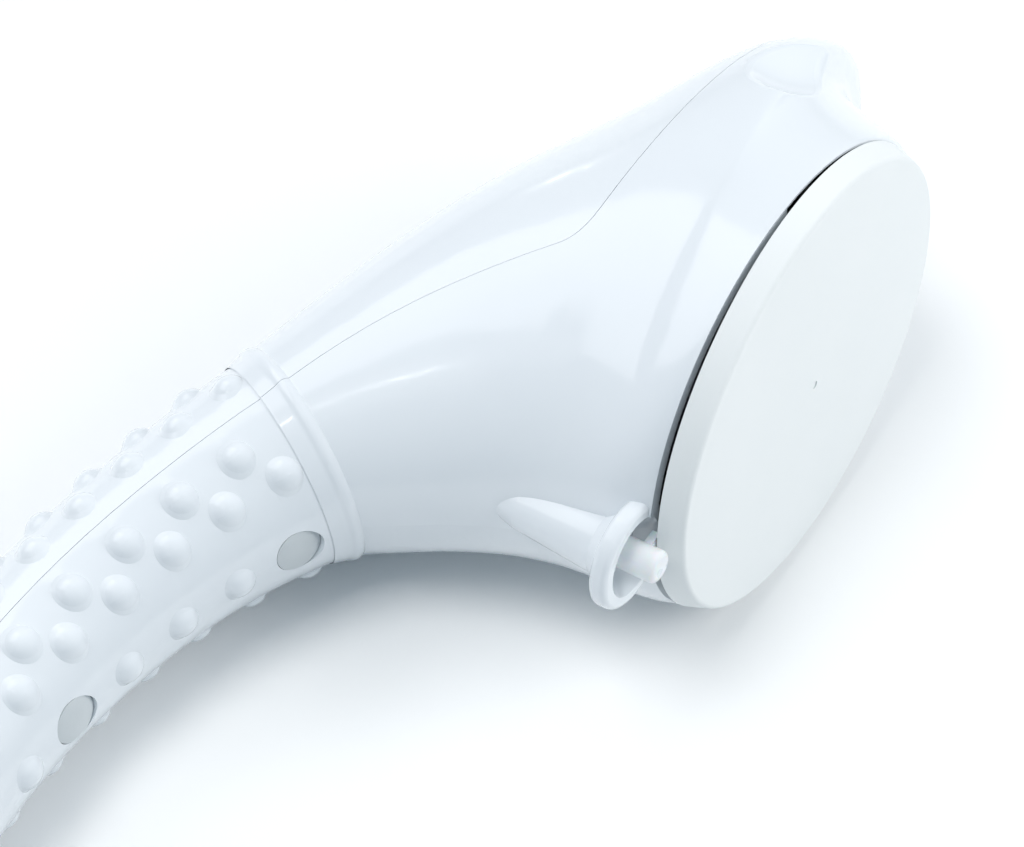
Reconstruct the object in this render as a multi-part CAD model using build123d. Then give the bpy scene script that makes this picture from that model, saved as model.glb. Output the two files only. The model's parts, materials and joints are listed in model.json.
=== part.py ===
from build123d import *

import os
from math import cos, pi, radians, sin, tan

import numpy as np

# Hand piece of a garment steamer, in millimetres.
# Working frame: origin at the centre of the press plate's face, +X out of the plate, +Y up the plate
# towards the beak of the head, +Z across the hand piece. The symmetry plane is Z = 0.
# At the end every piece is laid down together, the way the hand piece lies on a table.

# Press plate
PLATE_HALF_LENGTH = 47.5
PLATE_HALF_WIDTH = 42.2
PLATE_FLARE = 1.6
PLATE_DEPTH = 4.7
PLATE_FACE = 2.3
PLATE_SKIRT = 3.6
PLATE_EDGE_RADIUS = 0.9
GATE_RADIUS = 0.8
GATE_DEPTH = 0.25

# Mouth of the head: an oval, a little tilted to the plate
MOUTH_GAP_TOP = 0.3
MOUTH_GAP_BOTTOM = 1.6
WALL = 2.5
RIM_EDGE = 0.5
RIM_BEVEL = 4.0

# Stations from the mouth to the collar. Each has the back point measured from the top of the mouth, the
# front point measured from its bottom, and how much narrower than the mouth the half width is.
HEAD_STATIONS = [
    ((-3.9, 4.0), (-2.5, -1.8), 0.6),
    ((-19.9, 13.0), (-5.3, -3.4), 2.1),
    ((-24.4, 24.8), (-9.1, -4.4), 2.9),
    ((-39.4, 20.5), (-14.4, -5.1), 5.2),
    ((-52.9, -6.0), (-21.4, -6.1), 8.4),
    ((-67.9, -33.0), (-29.9, -9.0), 12.3),
    ((-80.4, -65.0), (-39.9, -14.3), 16.9),
]
BEAK_STATIONS = (1, 2, 3)
BEAK_EXTRA_WALL = 3.0
SECTIONS_PER_STATION = 4
POINTS_PER_SECTION = 25
SURFACE_TOLERANCE = 0.01

# Finger dimples beside the beak
DIMPLE_PLACE = (-24.6, 42.3)
DIMPLE_INSET = 8.7
DIMPLE_NORMAL = (-0.05, 0.33, 0.94)
DIMPLE_RADIUS = 24.0
DIMPLE_DEPTH = 3.8
DIMPLE_EDGE_RADIUS = 2.0

# Collar and handle
COLLAR_CENTRE = (-75.6, -60.8)
COLLAR_RADIUS = 21.4
RIDGE_HEIGHT = 0.85
RIDGE_RADIUS = 1.9
RIDGE_SLOPE = 36.0
RIDGE_HOLLOW_RADIUS = 2.4
RIDGE_FOOT_SLOPE = 16.0
RIDGE_SKIRT_LENGTH = 3.0
HANDLE_HEADING = 24.2
HANDLE_BEND_RADIUS = 160.0
HANDLE_BEND_LENGTH = 90.0
HANDLE_LENGTH = 150.0
GRIP_STATIONS = [(25.0, 18.2), (50.0, 16.6), (80.0, 15.2), (110.0, 15.0)]
HANDLE_END_RADIUS = 16.6
HANDLE_WALL = 2.4
GRIP_DEEPER = 0.05
GRIP_SECTIONS = 3
COLLAR_OVERLAP = 1.0
COLLAR_STEP = 0.2

# Parting line between the shells
PART_FORWARD = 0.9
PART_BULGE = (-42.0, -18.0)
PART_BULGE_SLOPE = (0.75, 0.66)
PART_PLANE_X = -39.0
PART_PLANE_START = -8.0
PART_GAP = 0.12

# Studs on the grip: distance of the first along the handle, pitch, and angle from the front
STUD_ROWS_FRONT = [(26.0, 14.0, 0), (8.5, 13.0, 45), (14.5, 13.0, 66), (8.5, 13.0, -54), (14.5, 13.0, -70)]
STUD_ROWS_BACK = [(7.5, 11.0, 110), (13.0, 11.0, 136), (7.5, 11.0, 180), (13.0, 11.0, -136),
                  (7.5, 11.0, -110)]
STUD_HEIGHT = 1.7
STUD_RADIUS = 3.7
STUD_SLOPE = 50.0
STUD_HOLLOW_RADIUS = 1.2
STUD_FOOT_SLOPE = 38.0
STUD_SKIRT_LENGTH = 1.9
STUD_END_MARGIN = 26.0

# Case screws and their covers
SCREW_STATIONS = [12.5, 68.5]
SCREW_RADIUS = 1.5
SCREW_HEAD_RADIUS = 2.8
SCREW_HEAD_HEIGHT = 2.0
SCREW_GRIP = 8.0
BOSS_RADIUS = 3.6
BOSS_TOP_RADIUS = 5.8
BOSS_TOP_START = 1.6
BOSS_TOP_LENGTH = 5.4
COVER_RADIUS = 4.6
COVER_HEIGHT = 1.9
COVER_DOME = 0.6
COVER_PROUD = 0.1

# Plunger just below the plate, a little to the near side, with a foot that reaches behind the plate's rim
PLUNGER_DROP = 3.7
PLUNGER_SIDE = 3.9
PLUNGER_RADIUS = 3.1
PLUNGER_TIP_RADIUS = 1.0
PLUNGER_TIP_BEHIND = 1.5
PLUNGER_GAP = 0.3
PLUNGER_TRAVEL = 1.3
PLUNGER_COLLAR_RADIUS = 3.5
PLUNGER_COLLAR_LENGTH = 2.0
PLUNGER_STEM_RADIUS = 1.8
PLUNGER_STEM_LENGTH = 3.0
FOOT_REACH = 5.6
FOOT_HALF_WIDTH = 1.5
FOOT_THICKNESS = 1.5

# Barrel of the plunger, its trumpet, guide bush and spring
FLANGE_X = -6.6
FLANGE_DEPTH = 3.7
FLANGE_RADIUS = 10.4
FLANGE_EDGE_RADIUS = 1.3
TRUMPET_MOUTH_RADIUS = 7.7
TRUMPET_THROAT_RADIUS = 5.0
FLARE_LENGTH = 3.0
FLARE_RADIUS = 8.0
BARREL_RADIUS = 5.9
BARREL_END_RADIUS = 4.6
BARREL_LENGTH = 19.5
BARREL_NOSE_LENGTH = 10.0
BARREL_NOSE_RADIUS = 2.4
BARREL_FLOOR = 1.0
BUSH_RADIUS = 4.2
BUSH_LENGTH = 6.7
SPRING_WIRE = 0.6
SPRING_RADIUS = 2.6
SPRING_TURNS = 5
SPRING_SLACK = 0.3

# Plate hinge
HINGE_DROP = 8.5
HINGE_X = -10.0
HINGE_PIN_RADIUS = 1.5
LUG_RADIUS = 3.2
LUG_THICKNESS = 4.0
LUG_SPACING = 20.0
BRACKET_THICKNESS = 3.5
BRACKET_RADIUS = 3.5
BRACKET_SIDE_GAP = 0.5

# Plate pad and its washers
PAD_THICKNESS = 1.4
PAD_EDGE_GAP = 0.6
PAD_STUD_RADIUS = 1.6
PAD_STUD_LENGTH = 3.0
PAD_STUD_PLACE = (20.0, 22.0)
WASHER_RADIUS = 4.0
WASHER_THICKNESS = 0.8

# Steam chamber, its cover, seal, carrier and shield
CARRIER_X = -14.5
CARRIER_THICKNESS = 2.5
CARRIER_MARGIN = 2.0
CARRIER_NARROWER = 5.5
CARRIER_SCREW_PLACE = (20.0, 25.5)
CARRIER_SCREW_REACH = 6.0
OPENING_GAP = 0.3
POST_RADIUS = 4.0
RIB_THICKNESS = 2.4
SHIELD_THICKNESS = 0.8
CHAMBER_Y = 2.0
CHAMBER_HALF_LENGTH = 27.0
CHAMBER_HALF_WIDTH = 20.0
CHAMBER_DEPTH = 15.0
CHAMBER_WALL = 2.0
CHAMBER_FLANGE = 5.0
CHAMBER_FLANGE_THICKNESS = 2.5
CHAMBER_COVER_THICKNESS = 2.0
SEAL_THICKNESS = 1.0
VENT_RADIUS = 1.5
VENT_RING = (16.0, 11.0)
VENT_COUNT = 12
SMALL_SCREW_RADIUS = 1.2
SMALL_HEAD_RADIUS = 2.2
SMALL_HEAD_HEIGHT = 1.2
SPIGOT_RADIUS = 1.9
SPIGOT_BORE = 1.2
SPIGOT_LENGTH = 9.0
SPIGOT_DROP = 10.0

# Steam tube, clips and hose inlet
TUBE_RADIUS = 3.0
TUBE_BORE = 2.0
TUBE_SIDE_STEP = 7.6
TUBE_END_GAP = 0.4
TUBE_FIRST_RUN = 18.0
TUBE_RETURN = (10.0, 40.0)
TUBE_CORNER = 0.4
CLIP_THICKNESS = 0.9
CLIP_WIDTH = 4.0
CLIP_PLACE = 2.0
INLET_FLANGE_RADIUS = 10.2
INLET_FLANGE_THICKNESS = 3.0
INLET_SCREW_PLACE = 8.0
INLET_SCREW_REACH = 2.0
HOSE_NECK_RADIUS = 5.6
HOSE_SPIGOT_RADIUS = 5.0
HOSE_SPIGOT_LENGTH = 16.0
HOSE_SPIGOT_BORE = 3.0
HOSE_SPIGOT_CHAMFER = 0.8
END_CAP_FLOOR = 3.0
END_CAP_SKIRT = 10.0
END_CAP_WALL = 2.0
END_CAP_EDGE_RADIUS = 1.2
INLET_SEAL_THICKNESS = 1.0

# Fits
SLIDE_CLEARANCE = 0.1
PIN_CLEARANCE = 0.06
SEAT_CLEARANCE = 0.1

# Attitude in which the hand piece lies on a table
LIE_ROLL = 2.4
LIE_PITCH = -14.0

# Places worked out from the sizes above
ACROSS = Vector(0, 0, 1)
rim_half_length = PLATE_HALF_LENGTH + PLATE_FLARE
rim_half_width = PLATE_HALF_WIDTH + PLATE_FLARE
hollow_half_length = rim_half_length - PLATE_SKIRT
hollow_half_width = rim_half_width - PLATE_SKIRT
mouth_top = Vector(-PLATE_DEPTH - MOUTH_GAP_TOP, rim_half_length)
mouth_bottom = Vector(-PLATE_DEPTH - MOUTH_GAP_BOTTOM, -rim_half_length)
collar = Vector(*COLLAR_CENTRE)
plunger_y = -rim_half_length - PLUNGER_DROP
hinge_y = rim_half_length - HINGE_DROP
flange_back = FLANGE_X - FLANGE_DEPTH
guide_back = flange_back - BUSH_LENGTH
barrel_back = flange_back - BARREL_LENGTH
spring_floor = barrel_back + BARREL_FLOOR
carrier_back = CARRIER_X - CARRIER_THICKNESS
shield_back = carrier_back - SHIELD_THICKNESS
chamber_front = CARRIER_X + CHAMBER_FLANGE_THICKNESS
chamber_back = CARRIER_X - CHAMBER_DEPTH
cover_back = chamber_front + SEAL_THICKNESS
cover_front = cover_back + CHAMBER_COVER_THICKNESS
spigot_y = CHAMBER_Y - SPIGOT_DROP
spring_room = PLUNGER_COLLAR_RADIUS + 2 * SLIDE_CLEARANCE
bracket_inside = LUG_SPACING / 2 + LUG_THICKNESS / 2 + BRACKET_SIDE_GAP
small_hole = SMALL_SCREW_RADIUS + PIN_CLEARANCE
inlet_back = -INLET_SEAL_THICKNESS - INLET_FLANGE_THICKNESS


def handle_frame(s):
    """Centre, direction down the handle and front direction, at a distance s along the handle."""
    start = radians(HANDLE_HEADING)
    heading = start - min(s, HANDLE_BEND_LENGTH) / HANDLE_BEND_RADIUS
    x = collar.X - HANDLE_BEND_RADIUS * (cos(heading) - cos(start))
    y = collar.Y - HANDLE_BEND_RADIUS * (sin(start) - sin(heading))
    down = Vector(-sin(heading), -cos(heading))
    front = Vector(cos(heading), -sin(heading))
    return Vector(x, y) + down * max(0.0, s - HANDLE_BEND_LENGTH), down, front


def smooth_rows(rows, count):
    """Rows of numbers filled in by a natural cubic curve, with count steps from each row to the next."""
    rows = np.array(rows)
    last = len(rows) - 1
    system = np.eye(last + 1)
    bends = np.zeros_like(rows)
    for k in range(1, last):
        system[k, k - 1:k + 2] = (1, 4, 1)
        bends[k] = 6 * (rows[k - 1] - 2 * rows[k] + rows[k + 1])
    bends = np.linalg.solve(system, bends)
    filled = []
    for k in range(last):
        for step in range(count):
            after = step / count
            before = 1 - after
            row = before * rows[k] + after * rows[k + 1]
            row += ((before**3 - before) * bends[k] + (after**3 - after) * bends[k + 1]) / 6
            filled.append(row)
    return filled + [rows[last]]


def head_sections(inset):
    """Back point, front point and half width of the head from the mouth to the collar."""
    rows = [(*mouth_top, *mouth_bottom, rim_half_width, inset)]
    for k, (back, front, narrower) in enumerate(HEAD_STATIONS):
        draw = inset + BEAK_EXTRA_WALL if inset > 0 and k in BEAK_STATIONS else inset
        half_width = rim_half_width - narrower
        rows.append((*(mouth_top + Vector(*back)), *(mouth_bottom + Vector(*front)), half_width, draw))
    reach = handle_frame(0)[2] * COLLAR_RADIUS
    rows.append((*(collar - reach), *(collar + reach), COLLAR_RADIUS, inset))
    sections = []
    for row in smooth_rows(rows, SECTIONS_PER_STATION):
        back, front = Vector(*row[0:3]), Vector(*row[3:6])
        step = (back - front).normalized() * row[7]
        sections.append((back - step, front + step, row[6] - row[7]))
    return sections


def near_points(back, front, half_width):
    """Points over the near half of an oval section, from its back to its front."""
    middle = (back + front) * 0.5
    reach = (back - front) * 0.5
    angles = np.linspace(0, pi, POINTS_PER_SECTION)
    return [middle + reach * cos(a) + ACROSS * (half_width * sin(a)) for a in angles]


def head_solid(inset):
    """Head and neck from the mouth to the collar, drawn in by the given wall."""
    grid = [near_points(*section) for section in head_sections(inset)]
    near = Face.make_surface_from_array_of_points(grid, tol=SURFACE_TOLERANCE, min_deg=3, max_deg=6)
    faces = [near, mirror(near, about=Plane.XY).face()]
    for row in (grid[0], grid[-1]):
        side = row[POINTS_PER_SECTION // 2]
        edge = near.edges().sort_by(lambda e: (e @ 0.5 - side).length)[0]
        faces.append(make_face([edge, mirror(edge, about=Plane.XY)]).face())
    return Solid(Shell(faces))


def oval(back, front, half_width):
    """Elliptical face, as two half arcs, whose long axis runs from the front point to the back point."""
    along = back - front
    plane = Plane(origin=(back + front) * 0.5, x_dir=along, z_dir=along.cross(ACROSS))
    halves = [EllipticalCenterArc((0, 0), along.length / 2, half_width, start_angle=a, arc_size=180)
              for a in (0, 180)]
    return plane * make_face(halves)


def grip_rows(count):
    stations = [(-COLLAR_OVERLAP, COLLAR_RADIUS - COLLAR_STEP)] + GRIP_STATIONS
    return smooth_rows(stations + [(HANDLE_LENGTH, HANDLE_END_RADIUS)], count)


def handle_solid(inset):
    """Handle from just inside the collar to its end, drawn in by the given wall."""
    faces = []
    for s, radius in grip_rows(GRIP_SECTIONS):
        centre, down, front = handle_frame(s)
        reach = front * (radius + GRIP_DEEPER - inset)
        faces.append(oval(centre - reach, centre + reach, radius - inset))
    return loft(faces)


def grip_radius(s):
    """Radius of the handle at a distance s, read from its smooth stations."""
    rows = grip_rows(20)
    return float(np.interp(s, [row[0] for row in rows], [row[1] for row in rows]))


def grip_plane(s, angle):
    """Plane on the grip's surface, normal outwards, at a distance s and an angle from the front."""
    centre, down, front = handle_frame(s)
    out = front * cos(radians(angle)) + ACROSS * sin(radians(angle))
    return Plane(origin=centre + out * grip_radius(s), x_dir=down, z_dir=out)


def turned(points):
    """Solid of revolution about Z from points of radius and height."""
    return revolve(Plane.XZ * make_face(Polyline(*points, close=True)), axis=Axis.Z)


def disc(radius, z0, z1):
    """Cylinder about Z from height z0 to height z1."""
    return Pos(0, 0, z0) * extrude(Circle(radius), z1 - z0)


def swell(height, radius, slope, hollow_radius, foot_slope, skirt_length):
    """Half outline of a rounded rise, with a hollow curve and a straight skirt at its foot."""
    def down_slope(angle, length):
        return Vector(sin(radians(angle)), cos(radians(angle))) * length

    centre = Vector(0, height - radius)
    top, middle, edge = [centre + down_slope(angle, radius) for angle in (0, slope / 2, slope)]
    hollow_centre = edge + down_slope(slope, hollow_radius)
    between, foot = [hollow_centre - down_slope(angle, hollow_radius)
                     for angle in ((slope + foot_slope) / 2, foot_slope)]
    toe = foot + down_slope(foot_slope + 90, skirt_length)
    return make_face([ThreePointArc(top, middle, edge), ThreePointArc(edge, between, foot),
                      Polyline(foot, toe, (0, toe.Y), top)])


def stud():
    """Dome with a rounded foot, standing on the plane of the surface."""
    half = swell(STUD_HEIGHT, STUD_RADIUS, STUD_SLOPE, STUD_HOLLOW_RADIUS, STUD_FOOT_SLOPE, STUD_SKIRT_LENGTH)
    return revolve(Plane.XZ * half, axis=Axis.Z)


def stud_planes(rows):
    planes = []
    for first, pitch, angle in rows:
        for s in np.arange(first, HANDLE_LENGTH - STUD_END_MARGIN, pitch):
            at_cover = angle == 0 and min(abs(s - place) for place in SCREW_STATIONS) < 2 * COVER_RADIUS
            if not at_cover:
                planes.append(grip_plane(s, angle))
    return planes


def collar_ridge():
    """Rounded ridge round the collar, which runs out smoothly on both sides."""
    centre, down, front = handle_frame(0)
    half = swell(RIDGE_HEIGHT, RIDGE_RADIUS, RIDGE_SLOPE, RIDGE_HOLLOW_RADIUS, RIDGE_FOOT_SLOPE,
                 RIDGE_SKIRT_LENGTH)
    section = Plane(origin=centre + front * COLLAR_RADIUS, x_dir=down, z_dir=down.cross(front)) * half
    section += mirror(section, about=Plane(origin=centre, z_dir=down))
    return revolve(section, axis=Axis(centre, down))


def scoop_dimples(head):
    """Head with a finger dimple on each side, rounded at its edge."""
    normal = Vector(*DIMPLE_NORMAL).normalized()
    place = Vector(*DIMPLE_PLACE, rim_half_width - DIMPLE_INSET)
    centre = place + normal * (DIMPLE_RADIUS - DIMPLE_DEPTH)
    ball = Plane(origin=centre, x_dir=normal, z_dir=normal.cross(Vector(0, 1, 0))) * Sphere(DIMPLE_RADIUS)
    scooped = (head - [ball, mirror(ball, about=Plane.XY)]).solid()
    return scooped.fillet(DIMPLE_EDGE_RADIUS, scooped.faces().filter_by(GeomType.SPHERE).edges())


def screw_bosses():
    """Bosses across the handle at both case screws, later parted with the shells."""
    bosses = []
    for s in SCREW_STATIONS:
        through = disc(BOSS_RADIUS, BOSS_TOP_START - 2 * grip_radius(s), -BOSS_TOP_START)
        top = disc(BOSS_TOP_RADIUS, -BOSS_TOP_START - BOSS_TOP_LENGTH, -BOSS_TOP_START)
        bosses.append(grip_plane(s, 0) * (through + top))
    return bosses


def screw_holes():
    """Stepped holes at both case screws, with room for the head and the cover."""
    cover_floor = COVER_PROUD - COVER_HEIGHT
    head_floor = cover_floor - SCREW_HEAD_HEIGHT - 2 * SEAT_CLEARANCE
    holes = []
    for s in SCREW_STATIONS:
        tip = -grip_radius(s) - SCREW_GRIP - SEAT_CLEARANCE
        hole = disc(SCREW_RADIUS + SEAT_CLEARANCE / 2, tip, head_floor)
        hole += disc(SCREW_HEAD_RADIUS + 2 * SEAT_CLEARANCE, head_floor, cover_floor)
        hole += disc(COVER_RADIUS + SEAT_CLEARANCE, cover_floor, STUD_HEIGHT)
        holes.append(grip_plane(s, 0) * hole)
    return holes


def rim_bevel():
    """Bevel inside the mouth, which leaves only a thin edge at the front."""
    faces = []
    for behind, inset in ((0, RIM_EDGE), (RIM_BEVEL, WALL)):
        top = mouth_top - Vector(behind, inset)
        bottom = mouth_bottom - Vector(behind, -inset)
        faces.append(oval(top, bottom, rim_half_width - inset))
    return loft(faces)


def casing():
    """Both shells in one, hollow, before the parting cut."""
    handle = handle_solid(0) + [plane * stud() for plane in stud_planes(STUD_ROWS_FRONT + STUD_ROWS_BACK)]
    outside = scoop_dimples(head_solid(0)) + handle + collar_ridge()
    hollow = outside - (head_solid(WALL) + handle_solid(HANDLE_WALL)) - rim_bevel()
    return hollow + screw_bosses() - screw_holes()


def parting_block(forward):
    """Everything behind the parting line, moved forward by the given gap."""
    places = [handle_frame(s) for s in (HANDLE_LENGTH * 1.2, HANDLE_BEND_LENGTH, HANDLE_BEND_LENGTH / 2, 0)]
    points = [centre + front * PART_FORWARD for centre, down, front in places]
    end, bend_end, bend_middle, bend_start = points
    up = handle_frame(0)[1] * -1
    bulge = Vector(*PART_BULGE)
    slope = Vector(*PART_BULGE_SLOPE)
    plane_start = Vector(PART_PLANE_X, PART_PLANE_START)
    beyond = 2.5 * rim_half_length
    back = collar.X - beyond
    outline = [
        Line(end, bend_end),
        ThreePointArc(bend_end, bend_middle, bend_start),
        Spline(bend_start, bulge, tangents=[up, slope]),
        Spline(bulge, plane_start, tangents=[slope, Vector(0, 1)]),
        Polyline(plane_start, (PART_PLANE_X, beyond), (back, beyond), (back, end.Y), end),
    ]
    return Pos(forward, 0, 0) * extrude(make_face(outline), amount=2 * rim_half_width, both=True)


def peg(x0, x1, y, z, radius):
    """Cylinder along X from x0 forward to x1."""
    return Pos(x0, y, z) * extrude(Plane.YZ * Circle(radius), x1 - x0)


def oval_plate(x0, x1, y, half_length, half_width):
    """Elliptical plate across X from x0 forward to x1."""
    return Pos(x0, y, 0) * extrude(Plane.YZ * Ellipse(half_length, half_width), x1 - x0)


def block(x0, x1, y0, y1, z0, z1):
    return Pos((x0 + x1) / 2, (y0 + y1) / 2, (z0 + z1) / 2) * Box(x1 - x0, y1 - y0, z1 - z0)


def along_plunger(points):
    """Solid of revolution about the plunger's axis from points of X and radius."""
    return Pos(0, plunger_y, PLUNGER_SIDE) * revolve(make_face(Polyline(*points, close=True)), axis=Axis.X)


def barrel():
    """Tapered barrel with a closed nose, its flare and trumpet flange, still solid."""
    nose = barrel_back - BARREL_NOSE_LENGTH
    body = along_plunger([
        (nose, 0), (nose, BARREL_NOSE_RADIUS), (barrel_back, BARREL_END_RADIUS),
        (flange_back - FLARE_LENGTH, BARREL_RADIUS),
        (flange_back - FLARE_LENGTH / 3, (BARREL_RADIUS + FLARE_RADIUS) / 2), (flange_back, FLARE_RADIUS),
        (flange_back, FLANGE_RADIUS), (FLANGE_X, FLANGE_RADIUS), (FLANGE_X, 0)])
    rims = body.edges().filter_by(GeomType.CIRCLE).sort_by(lambda e: e.radius)[-2:]
    return fillet(rims, FLANGE_EDGE_RADIUS)


def barrel_cavity():
    """Room for the spring and the bush, and the trumpet's mouth with free space in front of it."""
    return along_plunger([
        (spring_floor, 0), (spring_floor, spring_room), (guide_back, spring_room), (guide_back, BUSH_RADIUS),
        (flange_back, BUSH_RADIUS), (flange_back, TRUMPET_THROAT_RADIUS), (FLANGE_X, TRUMPET_MOUTH_RADIUS),
        (0, TRUMPET_MOUTH_RADIUS), (0, 0)])


def four_places(place, y=0.0):
    return [(y + up * place[0], side * place[1]) for up in (1, -1) for side in (1, -1)]


def carrier_posts():
    """Posts with ribs that stand on the inside of the head and take the carrier's screws."""
    foot = PART_PLANE_X + 2 * PART_GAP
    posts = []
    for y, z in four_places(CARRIER_SCREW_PLACE):
        z0, z1 = sorted((z, z / abs(z) * rim_half_width))
        rib = block(foot, shield_back, y - RIB_THICKNESS / 2, y + RIB_THICKNESS / 2, z0, z1)
        posts.append(peg(foot, shield_back, y, z, POST_RADIUS) + rib)
    return posts


def hinge_brackets():
    """Two ears at the top of the mouth that hold the ends of the hinge pin."""
    ears = []
    for z in (bracket_inside, -bracket_inside - BRACKET_THICKNESS):
        eye = Pos(HINGE_X, hinge_y, z) * extrude(Circle(BRACKET_RADIUS), BRACKET_THICKNESS)
        arm = block(HINGE_X - BRACKET_RADIUS, HINGE_X + BRACKET_RADIUS, hinge_y, 2 * rim_half_length,
                    z, z + BRACKET_THICKNESS)
        ears.append(eye + arm)
    return ears


def hinge_rod(radius, half_length):
    return Pos(HINGE_X, hinge_y, -half_length) * extrude(Circle(radius), 2 * half_length)


def front_shell(case):
    room = head_solid(WALL / 2)
    shell = case - parting_block(PART_GAP)
    shell += [piece & room for piece in carrier_posts() + hinge_brackets()] + [barrel()]
    holes = [peg(shield_back - CARRIER_SCREW_REACH - SEAT_CLEARANCE, shield_back, y, z, small_hole)
             for y, z in four_places(CARRIER_SCREW_PLACE)]
    pin_room = hinge_rod(HINGE_PIN_RADIUS + PIN_CLEARANCE, bracket_inside + BRACKET_THICKNESS)
    return shell - holes - barrel_cavity() - pin_room


def back_shell(case):
    return (case & parting_block(0)).solids().sort_by(SortBy.VOLUME)[-1]


def plate_lugs():
    lugs = []
    for z in (LUG_SPACING / 2, -LUG_SPACING / 2):
        eye = Pos(HINGE_X, hinge_y, z - LUG_THICKNESS / 2) * extrude(Circle(LUG_RADIUS), LUG_THICKNESS)
        arm = block(HINGE_X, -PLATE_FACE, hinge_y - LUG_RADIUS, hinge_y + LUG_RADIUS,
                    z - LUG_THICKNESS / 2, z + LUG_THICKNESS / 2)
        lugs.append(eye + arm)
    return lugs


def press_plate():
    front = Plane.YZ * Ellipse(PLATE_HALF_LENGTH, PLATE_HALF_WIDTH)
    back = Plane.YZ.offset(-PLATE_DEPTH) * Ellipse(rim_half_length, rim_half_width)
    plate = loft([back, front])
    plate = fillet(plate.faces().sort_by(Axis.X)[-1].edges(), PLATE_EDGE_RADIUS)
    plate -= oval_plate(-PLATE_DEPTH, -PLATE_FACE, 0, hollow_half_length, hollow_half_width)
    plate += plate_lugs()
    plate += [peg(-PLATE_FACE - PAD_STUD_LENGTH, -PLATE_FACE, y, z, PAD_STUD_RADIUS)
              for y, z in four_places(PAD_STUD_PLACE)]
    plate -= peg(-GATE_DEPTH, 0, 0, 0, GATE_RADIUS)
    return plate - hinge_rod(HINGE_PIN_RADIUS + PIN_CLEARANCE, LUG_SPACING)


def plate_pad():
    pad = oval_plate(-PLATE_FACE - PAD_THICKNESS, -PLATE_FACE, 0, hollow_half_length - PAD_EDGE_GAP,
                     hollow_half_width - PAD_EDGE_GAP)
    slot = LUG_THICKNESS / 2 + PAD_EDGE_GAP
    pad -= [block(HINGE_X, 0, hinge_y - LUG_RADIUS - PAD_EDGE_GAP, rim_half_length, z - slot, z + slot)
            for z in (LUG_SPACING / 2, -LUG_SPACING / 2)]
    return pad - [peg(HINGE_X, 0, y, z, PAD_STUD_RADIUS + SEAT_CLEARANCE / 2)
                  for y, z in four_places(PAD_STUD_PLACE)]


def pad_washers():
    back = -PLATE_FACE - PAD_THICKNESS - WASHER_THICKNESS
    return [peg(back, back + WASHER_THICKNESS, y, z, WASHER_RADIUS)
            - peg(back, back + WASHER_THICKNESS, y, z, PAD_STUD_RADIUS + SEAT_CLEARANCE / 2)
            for y, z in four_places(PAD_STUD_PLACE)]


def plunger_foot():
    """Tongue on the plunger that reaches up behind the plate's rim."""
    front = -PLATE_DEPTH - PLUNGER_GAP
    return block(front - FOOT_THICKNESS, front, plunger_y, plunger_y + FOOT_REACH,
                 PLUNGER_SIDE - FOOT_HALF_WIDTH, PLUNGER_SIDE + FOOT_HALF_WIDTH)


def plunger():
    tip = -PLUNGER_TIP_BEHIND
    shoulder = guide_back - SLIDE_CLEARANCE
    collar_back = shoulder - PLUNGER_COLLAR_LENGTH
    stem_end = collar_back - PLUNGER_STEM_LENGTH
    pin = along_plunger([
        (stem_end, 0), (stem_end, PLUNGER_STEM_RADIUS), (collar_back, PLUNGER_STEM_RADIUS),
        (collar_back, PLUNGER_COLLAR_RADIUS), (shoulder, PLUNGER_COLLAR_RADIUS), (shoulder, PLUNGER_RADIUS),
        (tip, PLUNGER_RADIUS), (tip, 0)])
    rim = pin.edges().filter_by(GeomType.CIRCLE).sort_by(Axis.X)[-1]
    return fillet(rim, PLUNGER_TIP_RADIUS) + plunger_foot()


def guide_bush():
    """Bush pressed into the barrel's front, which guides the plunger and keeps its collar in."""
    bush = peg(guide_back, flange_back, plunger_y, PLUNGER_SIDE, BUSH_RADIUS - SEAT_CLEARANCE / 2)
    return bush - peg(guide_back, flange_back, plunger_y, PLUNGER_SIDE, PLUNGER_RADIUS + SLIDE_CLEARANCE)


def plunger_spring():
    """Spring drawn at its pressed length, standing on the barrel's floor."""
    start = spring_floor + SPRING_WIRE / 2
    pressed = guide_back - SLIDE_CLEARANCE - PLUNGER_COLLAR_LENGTH - PLUNGER_TRAVEL
    end = pressed - SPRING_SLACK - SPRING_WIRE / 2
    coil = Helix(pitch=(end - start) / SPRING_TURNS, height=end - start, radius=SPRING_RADIUS)
    wire = sweep(Plane(origin=coil @ 0, z_dir=coil % 0) * Circle(SPRING_WIRE / 2), coil)
    return Plane(origin=(start, plunger_y, PLUNGER_SIDE), x_dir=(0, 1, 0), z_dir=(1, 0, 0)) * wire


def chamber_screw_places():
    half = cos(pi / 4)
    y = (CHAMBER_HALF_LENGTH + CHAMBER_FLANGE / 2) * half
    z = (CHAMBER_HALF_WIDTH + CHAMBER_FLANGE / 2) * half
    return four_places((y, z), CHAMBER_Y)


def chamber_oval(x0, x1, larger):
    return oval_plate(x0, x1, CHAMBER_Y, CHAMBER_HALF_LENGTH + larger, CHAMBER_HALF_WIDTH + larger)


def chamber_screw_holes(x0, x1):
    return [peg(x0, x1, y, z, small_hole) for y, z in chamber_screw_places()]


def steam_chamber():
    cup = chamber_oval(chamber_back, chamber_front, 0)
    cup += chamber_oval(CARRIER_X, chamber_front, CHAMBER_FLANGE)
    cup += peg(chamber_back - SPIGOT_LENGTH, chamber_back, spigot_y, 0, SPIGOT_RADIUS)
    cup -= chamber_oval(chamber_back + CHAMBER_WALL, chamber_front, -CHAMBER_WALL)
    cup -= peg(chamber_back - SPIGOT_LENGTH, chamber_front, spigot_y, 0, SPIGOT_BORE)
    return cup - chamber_screw_holes(CARRIER_X, chamber_front)


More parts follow.
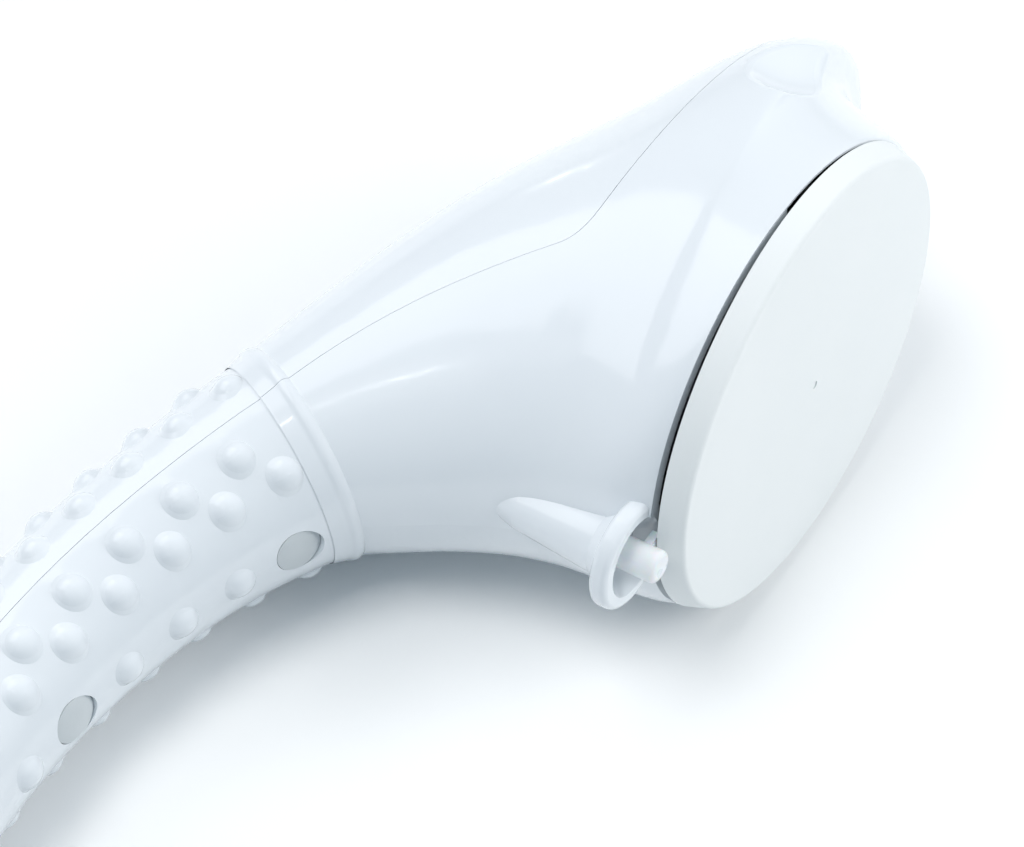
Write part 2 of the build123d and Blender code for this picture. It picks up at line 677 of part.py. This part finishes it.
def chamber_seal():
    seal = chamber_oval(chamber_front, cover_back, CHAMBER_FLANGE)
    return seal - chamber_oval(chamber_front, cover_back, 0) - chamber_screw_holes(chamber_front, cover_back)


def chamber_cover():
    cover = chamber_oval(cover_back, cover_front, CHAMBER_FLANGE)
    cover -= chamber_screw_holes(cover_back, cover_front)
    cover -= [peg(cover_front - SMALL_HEAD_HEIGHT, cover_front, y, z, SMALL_HEAD_RADIUS + SEAT_CLEARANCE)
              for y, z in chamber_screw_places()]
    angles = [2 * pi * k / VENT_COUNT for k in range(VENT_COUNT)]
    vents = [(CHAMBER_Y + VENT_RING[0] * cos(a), VENT_RING[1] * sin(a)) for a in angles]
    return cover - [peg(cover_back, cover_front, y, z, VENT_RADIUS) for y, z in vents]


def small_screw(x_under_head, x_tip, y, z):
    head = peg(x_under_head, x_under_head + SMALL_HEAD_HEIGHT, y, z, SMALL_HEAD_RADIUS)
    return head + peg(x_tip, x_under_head, y, z, SMALL_SCREW_RADIUS)


def chamber_screws():
    under_head = cover_front - SMALL_HEAD_HEIGHT
    return [small_screw(under_head, carrier_back, y, z) for y, z in chamber_screw_places()]


def carrier_outline(x0, x1):
    """Plate across the head with the chamber's opening, screw holes and room for the barrel."""
    margin = WALL + CARRIER_MARGIN
    plate = oval_plate(x0, x1, 0, rim_half_length - margin, rim_half_width - CARRIER_NARROWER - margin)
    plate -= chamber_oval(x0, x1, OPENING_GAP)
    plate -= chamber_screw_holes(x0, x1)
    plate -= [peg(x0, x1, y, z, small_hole) for y, z in four_places(CARRIER_SCREW_PLACE)]
    return plate - peg(x0, x1, plunger_y, PLUNGER_SIDE, FLARE_RADIUS + CARRIER_MARGIN)


def carrier_plate():
    return carrier_outline(carrier_back, CARRIER_X)


def heat_shield():
    return carrier_outline(shield_back, carrier_back)


def carrier_screws():
    return [small_screw(CARRIER_X, shield_back - CARRIER_SCREW_REACH, y, z)
            for y, z in four_places(CARRIER_SCREW_PLACE)]


def tube_points():
    """Corners of the tube's path from the chamber, past the case screws, to the inlet."""
    def in_handle(s, side):
        return handle_frame(s)[0] + ACROSS * side

    last = HANDLE_LENGTH + inlet_back - TUBE_END_GAP
    return [
        Vector(chamber_back - TUBE_END_GAP, spigot_y),
        Vector(chamber_back - TUBE_FIRST_RUN, spigot_y),
        in_handle(0, TUBE_SIDE_STEP),
        in_handle(SCREW_STATIONS[1] + TUBE_RETURN[0], TUBE_SIDE_STEP),
        in_handle(SCREW_STATIONS[1] + TUBE_RETURN[1], 0),
        in_handle(last, 0),
    ]


def steam_tube():
    points = tube_points()
    radii = []
    for before, corner, after in zip(points, points[1:], points[2:]):
        into, away = corner - before, after - corner
        turn = radians(into.get_angle(away))
        radii.append(TUBE_CORNER * min(into.length, away.length) / tan(turn / 2))
    path = FilletPolyline(*points, radius=radii)
    ring = Circle(TUBE_RADIUS) - Circle(TUBE_BORE)
    return sweep(Plane(origin=path @ 0, z_dir=path % 0) * ring, path)


def tube_clips():
    points = tube_points()
    clips = []
    for start, towards in ((points[0], points[1]), (points[-1], points[-2])):
        plane = Plane(origin=start, z_dir=towards - start)
        band = disc(TUBE_RADIUS + CLIP_THICKNESS, CLIP_PLACE, CLIP_PLACE + CLIP_WIDTH)
        hole = disc(TUBE_RADIUS + SEAT_CLEARANCE / 2, CLIP_PLACE, CLIP_PLACE + CLIP_WIDTH)
        clips.append(plane * (band - hole))
    return clips


def inlet_screw_planes():
    centre, down, front = handle_frame(HANDLE_LENGTH)
    return [Plane(origin=centre + ACROSS * side, x_dir=front, z_dir=down)
            for side in (INLET_SCREW_PLACE, -INLET_SCREW_PLACE)]


def end_plane():
    centre, down, front = handle_frame(HANDLE_LENGTH)
    return Plane(origin=centre, x_dir=front, z_dir=down)


def hose_inlet():
    end = END_CAP_FLOOR + HOSE_SPIGOT_LENGTH
    step = -INLET_SEAL_THICKNESS - INLET_FLANGE_THICKNESS / 2
    inlet = turned([
        (SPIGOT_BORE, inlet_back - SPIGOT_LENGTH), (SPIGOT_RADIUS, inlet_back - SPIGOT_LENGTH),
        (SPIGOT_RADIUS, inlet_back), (INLET_FLANGE_RADIUS, inlet_back),
        (INLET_FLANGE_RADIUS, -INLET_SEAL_THICKNESS), (HOSE_NECK_RADIUS, -INLET_SEAL_THICKNESS),
        (HOSE_NECK_RADIUS, END_CAP_FLOOR), (HOSE_SPIGOT_RADIUS, END_CAP_FLOOR),
        (HOSE_SPIGOT_RADIUS, end - HOSE_SPIGOT_CHAMFER), (HOSE_SPIGOT_RADIUS - HOSE_SPIGOT_CHAMFER, end),
        (HOSE_SPIGOT_BORE, end), (HOSE_SPIGOT_BORE, step), (SPIGOT_BORE, step)])
    holes = [plane * disc(small_hole, inlet_back, 0) for plane in inlet_screw_planes()]
    return end_plane() * inlet - holes


def inlet_seal():
    ring = disc(INLET_SCREW_PLACE - small_hole, -INLET_SEAL_THICKNESS, 0)
    return end_plane() * (ring - disc(HOSE_NECK_RADIUS + SEAT_CLEARANCE / 2, -INLET_SEAL_THICKNESS, 0))


def end_cap():
    skirt = grip_radius(HANDLE_LENGTH - END_CAP_SKIRT) - HANDLE_WALL - SEAT_CLEARANCE
    floor = disc(HANDLE_END_RADIUS, 0, END_CAP_FLOOR)
    floor = fillet(floor.edges().sort_by(Axis.Z)[-1], END_CAP_EDGE_RADIUS)
    cap = floor + disc(skirt, -END_CAP_SKIRT, 0) - disc(skirt - END_CAP_WALL, -END_CAP_SKIRT, 0)
    cap = end_plane() * (cap - disc(HOSE_NECK_RADIUS + SEAT_CLEARANCE, 0, END_CAP_FLOOR))
    return cap - [plane * disc(small_hole, 0, INLET_SCREW_REACH) for plane in inlet_screw_planes()]


def inlet_screws():
    screw = disc(SMALL_HEAD_RADIUS, inlet_back - SMALL_HEAD_HEIGHT, inlet_back)
    screw += disc(SMALL_SCREW_RADIUS, inlet_back, INLET_SCREW_REACH - SEAT_CLEARANCE)
    return [plane * screw for plane in inlet_screw_planes()]


def case_screws():
    head_top = COVER_PROUD - COVER_HEIGHT - SEAT_CLEARANCE
    head_bottom = head_top - SCREW_HEAD_HEIGHT
    screws = []
    for s in SCREW_STATIONS:
        shank = disc(SCREW_RADIUS, -grip_radius(s) - SCREW_GRIP, head_bottom)
        screws.append(grip_plane(s, 0) * (shank + disc(SCREW_HEAD_RADIUS, head_bottom, head_top)))
    return screws


def screw_covers():
    top, floor = COVER_PROUD, COVER_PROUD - COVER_HEIGHT
    edge = top - COVER_DOME
    shoulder = (COVER_RADIUS * cos(pi / 4), edge + COVER_DOME / 2)
    outline = [ThreePointArc((0, top), shoulder, (COVER_RADIUS, edge)),
               Polyline((COVER_RADIUS, edge), (COVER_RADIUS, floor), (0, floor), (0, top))]
    cover = revolve(Plane.XZ * make_face(outline), axis=Axis.Z)
    return [grip_plane(s, 0) * cover for s in SCREW_STATIONS]


def all_pieces():
    case = casing()
    return {
        "front_shell": front_shell(case),
        "back_shell": back_shell(case),
        "press_plate": press_plate(),
        "plunger": plunger(),
        "screw_covers": screw_covers(),
        "case_screws": case_screws(),
        "hinge_pin": hinge_rod(HINGE_PIN_RADIUS, bracket_inside + BRACKET_THICKNESS),
        "plate_pad": plate_pad(),
        "pad_washers": pad_washers(),
        "plunger_spring": plunger_spring(),
        "guide_bush": guide_bush(),
        "steam_chamber": steam_chamber(),
        "chamber_cover": chamber_cover(),
        "chamber_seal": chamber_seal(),
        "chamber_screws": chamber_screws(),
        "carrier_plate": carrier_plate(),
        "carrier_screws": carrier_screws(),
        "heat_shield": heat_shield(),
        "steam_tube": steam_tube(),
        "tube_clips": tube_clips(),
        "hose_inlet": hose_inlet(),
        "inlet_seal": inlet_seal(),
        "end_cap": end_cap(),
        "inlet_screws": inlet_screws(),
    }


def one_node(piece):
    """One node, as a compound if it has several solids, turned to the attitude on the table."""
    solids = piece if isinstance(piece, list) else [piece]
    whole = Compound(children=[part for solid in solids for part in solid.solids()])
    return Rot(LIE_ROLL, LIE_PITCH, 0) * whole


nodes = {name: one_node(piece) for name, piece in all_pieces().items()}
boxes = [node.bounding_box() for node in nodes.values()]
low, high = [np.array([tuple(corner) for corner in corners])
             for corners in ([box.min for box in boxes], [box.max for box in boxes])]
middle = (low.min(axis=0) + high.max(axis=0)) / 2
table = Pos(-middle[0], -middle[1], -low[:, 2].min())
os.makedirs("parts", exist_ok=True)
for name, node in nodes.items():
    export_step(table * node, f"parts/{name}.step")
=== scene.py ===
import json

import bpy
from mathutils import Matrix, Vector

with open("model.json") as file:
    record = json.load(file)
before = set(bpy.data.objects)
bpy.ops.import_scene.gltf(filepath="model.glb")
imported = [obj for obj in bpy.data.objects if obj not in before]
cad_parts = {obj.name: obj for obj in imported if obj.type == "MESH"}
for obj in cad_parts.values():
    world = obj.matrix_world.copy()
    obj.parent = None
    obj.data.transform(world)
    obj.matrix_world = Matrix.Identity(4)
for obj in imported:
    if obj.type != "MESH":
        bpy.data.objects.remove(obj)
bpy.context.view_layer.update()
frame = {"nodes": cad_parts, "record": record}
print("frame loaded:", len(frame["nodes"]), "nodes")

# The hand piece's own directions, read from the record: out of the plate, up the plate, across
record = frame["record"]
mounts = {m["name"]: m for m in record["mounts"]}
joints = {j["name"]: j for j in record["behaviour"]["joints"]}
plateNote = {"aboveCentre": 0.012}  # the plate's mount sits this far above the centre of its face
outOfPlate = Vector(mounts["plate_face"]["axis"])
across = -Vector(joints["plate tilt"]["axis"])
upPlate = across.cross(outOfPlate)
plateCentre = Vector(mounts["plate_face"]["pos_m"]) - upPlate * plateNote["aboveCentre"]
toRow = Matrix((outOfPlate, upPlate, across)).transposed().to_4x4()
toRow.translation = plateCentre

noiseSpread = {"from": 0.3, "to": 0.7}  # the part of the noise that the ramps stretch out
mouldedSkin = {"bumpDepth": 0.0001, "milkDepth": 0.002, "coatRough": 0.05}  # depths in metres


def newMaterial(name):
    mat = bpy.data.materials.new(name)
    mat.use_nodes = True
    return mat, mat.node_tree.nodes, mat.node_tree.links


def noiseAt(nodes, links, scale, detail=3.0):
    coords = nodes.new("ShaderNodeTexCoord")
    noise = nodes.new("ShaderNodeTexNoise")
    noise.inputs["Scale"].default_value = scale
    noise.inputs["Detail"].default_value = detail
    links.new(coords.outputs["Object"], noise.inputs["Vector"])
    return noise


def rampBetween(nodes, links, source, low, high):  # noise turned into a drift from one colour to another
    ramp = nodes.new("ShaderNodeValToRGB")
    first, last = ramp.color_ramp.elements
    first.position, last.position = noiseSpread["from"], noiseSpread["to"]
    first.color, last.color = low, high
    links.new(source, ramp.inputs["Fac"])
    return ramp.outputs["Color"]


def grey(value):
    return (value, value, value, 1)


def driftOver(nodes, links, noise, look):  # the same noise moves the tint and the roughness
    shader = nodes["Principled BSDF"]
    source = noise.outputs["Fac"]
    tint = rampBetween(nodes, links, source, look["tintLow"], look["tintHigh"])
    rough = rampBetween(nodes, links, source, grey(look["roughLow"]), grey(look["roughHigh"]))
    links.new(tint, shader.inputs["Base Color"])
    links.new(rough, shader.inputs["Roughness"])


def moulded(name, look):  # moulded plastic: tint drift, roughness drift and a fine skin
    mat, nodes, links = newMaterial(name)
    shader = nodes["Principled BSDF"]
    driftOver(nodes, links, noiseAt(nodes, links, look["driftScale"]), look)
    skin = noiseAt(nodes, links, look["skinScale"])
    bump = nodes.new("ShaderNodeBump")
    bump.inputs["Strength"].default_value = look["skinStrength"]
    bump.inputs["Distance"].default_value = mouldedSkin["bumpDepth"]
    links.new(skin.outputs["Fac"], bump.inputs["Height"])
    links.new(bump.outputs["Normal"], shader.inputs["Normal"])
    shader.inputs["IOR"].default_value = look["ior"]
    shader.inputs["Subsurface Weight"].default_value = look.get("milk", 0.0)
    shader.inputs["Subsurface Scale"].default_value = mouldedSkin["milkDepth"]
    shader.inputs["Coat Weight"].default_value = look.get("coat", 0.0)
    shader.inputs["Coat Roughness"].default_value = mouldedSkin["coatRough"]
    return mat


def metal(name, look):  # drawn or cast metal, its grain stretched along one direction
    mat, nodes, links = newMaterial(name)
    nodes["Principled BSDF"].inputs["Metallic"].default_value = 1.0
    coords = nodes.new("ShaderNodeTexCoord")
    stretch = nodes.new("ShaderNodeMapping")
    stretch.inputs["Scale"].default_value = look["stretch"]
    noise = nodes.new("ShaderNodeTexNoise")
    noise.inputs["Scale"].default_value = look["grainScale"]
    links.new(coords.outputs["Object"], stretch.inputs["Vector"])
    links.new(stretch.outputs["Vector"], noise.inputs["Vector"])
    driftOver(nodes, links, noise, look)
    return mat


whiteShell = {"tintLow": (0.76, 0.80, 0.84, 1), "tintHigh": (0.79, 0.83, 0.865, 1), "driftScale": 18,
              "roughLow": 0.13, "roughHigh": 0.17, "skinScale": 260, "skinStrength": 0.03,
              "ior": 1.5, "coat": 0.3}
satinPlate = {"tintLow": (0.79, 0.82, 0.825, 1), "tintHigh": (0.82, 0.845, 0.85, 1), "driftScale": 25,
              "roughLow": 0.42, "roughHigh": 0.5, "skinScale": 1400, "skinStrength": 0.12, "ior": 1.45}
milkyPin = {"tintLow": (0.80, 0.84, 0.86, 1), "tintHigh": (0.84, 0.88, 0.89, 1), "driftScale": 60,
            "roughLow": 0.26, "roughHigh": 0.33, "skinScale": 900, "skinStrength": 0.06,
            "ior": 1.45, "milk": 0.35}
greyPlug = {"tintLow": (0.57, 0.61, 0.63, 1), "tintHigh": (0.62, 0.66, 0.68, 1), "driftScale": 120,
            "roughLow": 0.45, "roughHigh": 0.55, "skinScale": 1600, "skinStrength": 0.2, "ior": 1.45}
darkInside = {"tintLow": (0.045, 0.047, 0.05, 1), "tintHigh": (0.06, 0.062, 0.065, 1), "driftScale": 90,
              "roughLow": 0.5, "roughHigh": 0.65, "skinScale": 1500, "skinStrength": 0.3, "ior": 1.45}
greySilicone = {"tintLow": (0.52, 0.51, 0.48, 1), "tintHigh": (0.58, 0.57, 0.54, 1), "driftScale": 70,
                "roughLow": 0.5, "roughHigh": 0.6, "skinScale": 700, "skinStrength": 0.15,
                "ior": 1.41, "milk": 0.2}
feltPad = {"tintLow": (0.36, 0.34, 0.30, 1), "tintHigh": (0.50, 0.47, 0.42, 1), "driftScale": 700,
           "roughLow": 0.9, "roughHigh": 1.0, "skinScale": 2600, "skinStrength": 0.9, "ior": 1.3}
drawnSteel = {"tintLow": (0.50, 0.50, 0.51, 1), "tintHigh": (0.62, 0.62, 0.63, 1), "stretch": (1, 1, 8),
              "grainScale": 400, "roughLow": 0.24, "roughHigh": 0.36}
castAluminium = {"tintLow": (0.60, 0.61, 0.62, 1), "tintHigh": (0.72, 0.73, 0.74, 1), "stretch": (1, 1, 1),
                 "grainScale": 900, "roughLow": 0.38, "roughHigh": 0.52}

finishes = {  # one finish for each material slot of the record
    "shell": moulded("whiteShell", whiteShell),
    "plate": moulded("satinPlate", satinPlate),
    "plunger": moulded("milkyPin", milkyPin),
    "covers": moulded("greyPlug", greyPlug),
    "inner_plastic": moulded("darkInside", darkInside),
    "silicone": moulded("greySilicone", greySilicone),
    "pad": moulded("feltPad", feltPad),
    "steel": metal("drawnSteel", drawnSteel),
    "aluminium": metal("castAluminium", castAluminium),
}

slotOf = {s["node"]: s["material_slot"] for s in record["subparts"]}
for node, obj in frame["nodes"].items():
    obj.data.materials.clear()
    obj.data.materials.append(finishes[slotOf[node]])
print("finishes on", len(frame["nodes"]), "nodes")

table = {"half": 3.0, "squares": 8, "shade": (0.95, 0.955, 0.955, 1), "rough": 0.6, "shine": 0.2}


def buildTable():
    bpy.ops.mesh.primitive_grid_add(
        x_subdivisions=table["squares"], y_subdivisions=table["squares"], size=2 * table["half"])
    top = bpy.context.object
    top.name = "tableTop"
    mat, nodes, _ = newMaterial("paleTable")
    shader = nodes["Principled BSDF"]
    shader.inputs["Base Color"].default_value = table["shade"]
    shader.inputs["Roughness"].default_value = table["rough"]
    shader.inputs["Specular IOR Level"].default_value = table["shine"]
    top.data.materials.append(mat)


studio = {"bright": (-0.75, 0.65, 0.0), "glow": 1.0, "low": (0.10, 0.17, 0.22, 1),
          "high": (0.60, 0.64, 0.68, 1)}  # the room gets brighter towards one far corner
lampAim = {"neck": (-0.055, -0.03, 0.02)}  # in the hand piece's own directions
softBoxes = {  # direction and distance from the neck, size in metres; mirrored ones show in reflections
    "neckLamp": {"towards": (-0.334, -0.395, 0.856), "away": 0.9, "size": (0.02, 0.03), "watts": 0.05,
                 "tint": (1, 1, 1), "mirrored": True},
    "backLamp": {"towards": (-0.773, 0.632, 0.047), "away": 1.1, "size": (0.02, 0.015), "watts": 0.025,
                 "tint": (1, 1, 1), "mirrored": True},
    "keyBox": {"towards": (-0.27, -0.36, 0.9), "away": 1.2, "size": (0.5, 0.5), "watts": 6.2,
               "tint": (1, 0.98, 0.96), "mirrored": False},
    "leftBox": {"towards": (-0.78, 0.0, 0.62), "away": 1.3, "size": (1.2, 0.8), "watts": 4.2,
                "tint": (1, 0.99, 1), "mirrored": True},
    "sideBox": {"towards": (0.74, 0.42, 0.6), "away": 0.8, "size": (0.5, 0.5), "watts": 3.7,
                "tint": (1, 0.98, 0.96), "mirrored": False},
}


def aimAt(obj, spot, target):
    obj.location = spot
    obj.rotation_euler = (target - spot).to_track_quat("-Z", "Y").to_euler()


def buildRoom():
    world = bpy.data.worlds.new("studioRoom")
    world.use_nodes = True
    nodes, links = world.node_tree.nodes, world.node_tree.links
    coords = nodes.new("ShaderNodeTexCoord")
    facing = nodes.new("ShaderNodeVectorMath")
    facing.operation = "DOT_PRODUCT"
    facing.inputs[1].default_value = Vector(studio["bright"]).normalized()
    spread = nodes.new("ShaderNodeMapRange")
    spread.inputs["From Min"].default_value = -1.0  # facing straight away from the bright corner
    ramp = nodes.new("ShaderNodeValToRGB")
    ramp.color_ramp.elements[0].color = studio["low"]
    ramp.color_ramp.elements[1].color = studio["high"]
    links.new(coords.outputs["Generated"], facing.inputs[0])
    links.new(facing.outputs["Value"], spread.inputs["Value"])
    links.new(spread.outputs["Result"], ramp.inputs["Fac"])
    links.new(ramp.outputs["Color"], nodes["Background"].inputs["Color"])
    nodes["Background"].inputs["Strength"].default_value = studio["glow"]
    bpy.context.scene.world = world


def buildLights():
    neck = toRow @ Vector(lampAim["neck"])
    for name, box in softBoxes.items():
        lamp = bpy.data.lights.new(name, "AREA")
        lamp.shape = "RECTANGLE"
        lamp.size, lamp.size_y = box["size"]
        lamp.energy = box["watts"]
        lamp.color = box["tint"]
        obj = bpy.data.objects.new(name, lamp)
        bpy.context.collection.objects.link(obj)
        obj.visible_glossy = box["mirrored"]
        aimAt(obj, neck + Vector(box["towards"]).normalized() * box["away"], neck)


photoView = {  # the photographer's place in the hand piece's own directions, lens in photo pixels
    "spot": (0.1285, -0.2396, 0.3127), "right": (0.8292, 0.5498, -0.1003), "up": (-0.3677, 0.6719, 0.6429),
    "lensPixels": 2200, "photoWidth": 1024, "sensor": 36.0, "nearest": 0.01}


def buildCamera():
    cam = bpy.data.cameras.new("photoCamera")
    cam.sensor_fit = "HORIZONTAL"
    cam.sensor_width = photoView["sensor"]
    cam.lens = photoView["lensPixels"] / photoView["photoWidth"] * photoView["sensor"]
    cam.clip_start = photoView["nearest"]
    obj = bpy.data.objects.new("photoCamera", cam)
    bpy.context.collection.objects.link(obj)
    right = Vector(photoView["right"]).normalized()
    up = Vector(photoView["up"])
    back = right.cross(up).normalized()
    pose = Matrix((right, back.cross(right), back)).transposed().to_4x4()
    pose.translation = Vector(photoView["spot"])
    obj.matrix_world = toRow @ pose
    bpy.context.scene.camera = obj


buildTable()
buildRoom()
buildLights()
buildCamera()
bpy.context.scene.view_settings.view_transform = "Standard"
print("table, lights and camera set")
